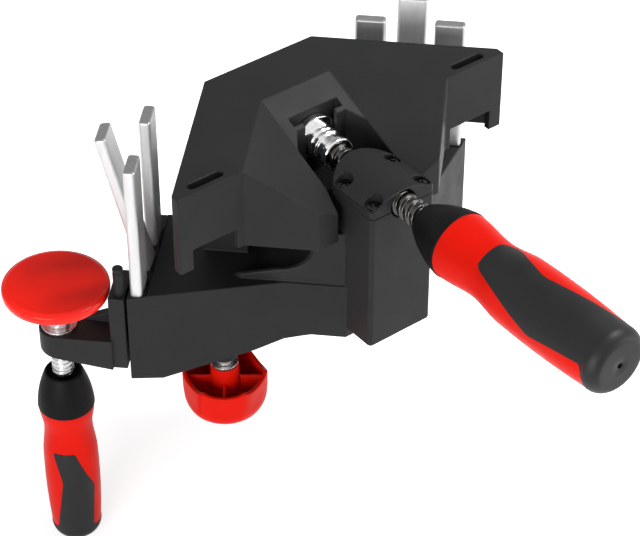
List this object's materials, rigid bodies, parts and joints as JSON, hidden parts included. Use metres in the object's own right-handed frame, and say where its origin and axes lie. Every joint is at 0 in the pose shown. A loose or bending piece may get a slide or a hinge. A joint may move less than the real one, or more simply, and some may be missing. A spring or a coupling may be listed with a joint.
{
  "type": "door frame clamp",
  "caption": "Corner clamp for door linings: a spindle-driven 45 degree wedge presses boards against pins on a V-shaped base, with a sliding arm and wall pad.",
  "frame": {"origin": "middle of the centre block's flat underside", "axes": "+Z towards the wall, along the pins; +Y from the main handle to the wedge's apex, along the main spindle; +X to the arm without the wall pad"},
  "size_m": [0.2862, 0.3263, 0.2619],
  "materials": {
    "frame_plastic": "fine satin texture, dark grey",
    "red_plastic": "smooth moulded red",
    "soft_black": "matt soft-touch",
    "zinc_steel": "zinc plated",
    "bright_steel": "bright nickel",
    "black_steel": "black oxide, oiled"
  },
  "bodies": {
    "base": {"base_frame": "frame_plastic", "spindle_cover": "frame_plastic", "cover_screws": "black_steel", "spindle_nut": "black_steel", "left_front_pin": "zinc_steel", "left_middle_pin": "zinc_steel", "left_rear_pin": "zinc_steel", "right_front_pin": "zinc_steel", "right_middle_pin": "zinc_steel", "right_rear_pin": "zinc_steel"},
    "wedge": {"wedge_body": "frame_plastic"},
    "main_spindle": {"main_spindle": "black_steel", "thrust_head": "bright_steel", "head_pin": "bright_steel", "main_collar": "soft_black", "main_inlay": "soft_black", "main_grip": "red_plastic"},
    "support_arm": {"support_arm": "frame_plastic", "stop_post": "frame_plastic", "arm_bush": "zinc_steel", "clamp_stud": "zinc_steel"},
    "clamp_washer": {"clamp_washer": "zinc_steel"},
    "knob": {"clamp_knob": "red_plastic", "knob_insert": "zinc_steel"},
    "pad_ring": {"pad_ring": "zinc_steel"},
    "pad": {"pressure_pad": "red_plastic"},
    "pad_spindle": {"pad_spindle": "zinc_steel", "small_collar": "soft_black", "small_inlay": "soft_black", "small_grip": "red_plastic"}
  },
  "joints": [
    {"name": "wedge_slide", "type": "slide", "parent": "base", "child": "wedge", "axis": [0, 1, 0], "range_m": [-0.009, 0.015]},
    {"name": "main_spindle_turn", "type": "hinge", "parent": "wedge", "child": "main_spindle", "pos_m": [0, 0.055, 0.086], "axis": [0, 1, 0], "range_deg": [-648.05, 1080.05]},
    {"name": "support_arm_slide", "type": "slide", "parent": "base", "child": "support_arm", "axis": [-0.7071, 0.7071, 0], "range_m": [0, 0.026]},
    {"name": "clamp_washer_slide", "type": "slide", "parent": "support_arm", "child": "clamp_washer", "axis": [0, 0, 1], "range_m": [-0.006, 0.0045]},
    {"name": "knob_turn", "type": "hinge", "parent": "clamp_washer", "child": "knob", "pos_m": [-0.06399, 0.05494, -0.045], "axis": [0, 0, 1], "range_deg": [-1440.05, 1080.05]},
    {"name": "pad_slide", "type": "slide", "parent": "support_arm", "child": "pad_ring", "axis": [0, 0, 1], "range_m": [-0.01, 0.011]},
    {"name": "pad_spindle_turn", "type": "hinge", "parent": "pad_ring", "child": "pad_spindle", "pos_m": [-0.1398, 0.09935, -0.01], "axis": [0, 0, 1], "range_deg": [-1200.05, 1320.05]},
    {"name": "pad_tilt", "type": "hinge", "parent": "pad_ring", "child": "pad", "pos_m": [-0.1398, 0.09935, 0.0212], "axis": [1, 0, 0], "range_deg": [-8, 8]}
  ],
  "couplings": [
    {"joint": "main_spindle_turn", "follows": "wedge_slide", "rad_per_m": 1256.6},
    {"joint": "knob_turn", "follows": "clamp_washer_slide", "rad_per_m": 4188.8},
    {"joint": "pad_spindle_turn", "follows": "pad_slide", "rad_per_m": 2094.4}
  ]
}
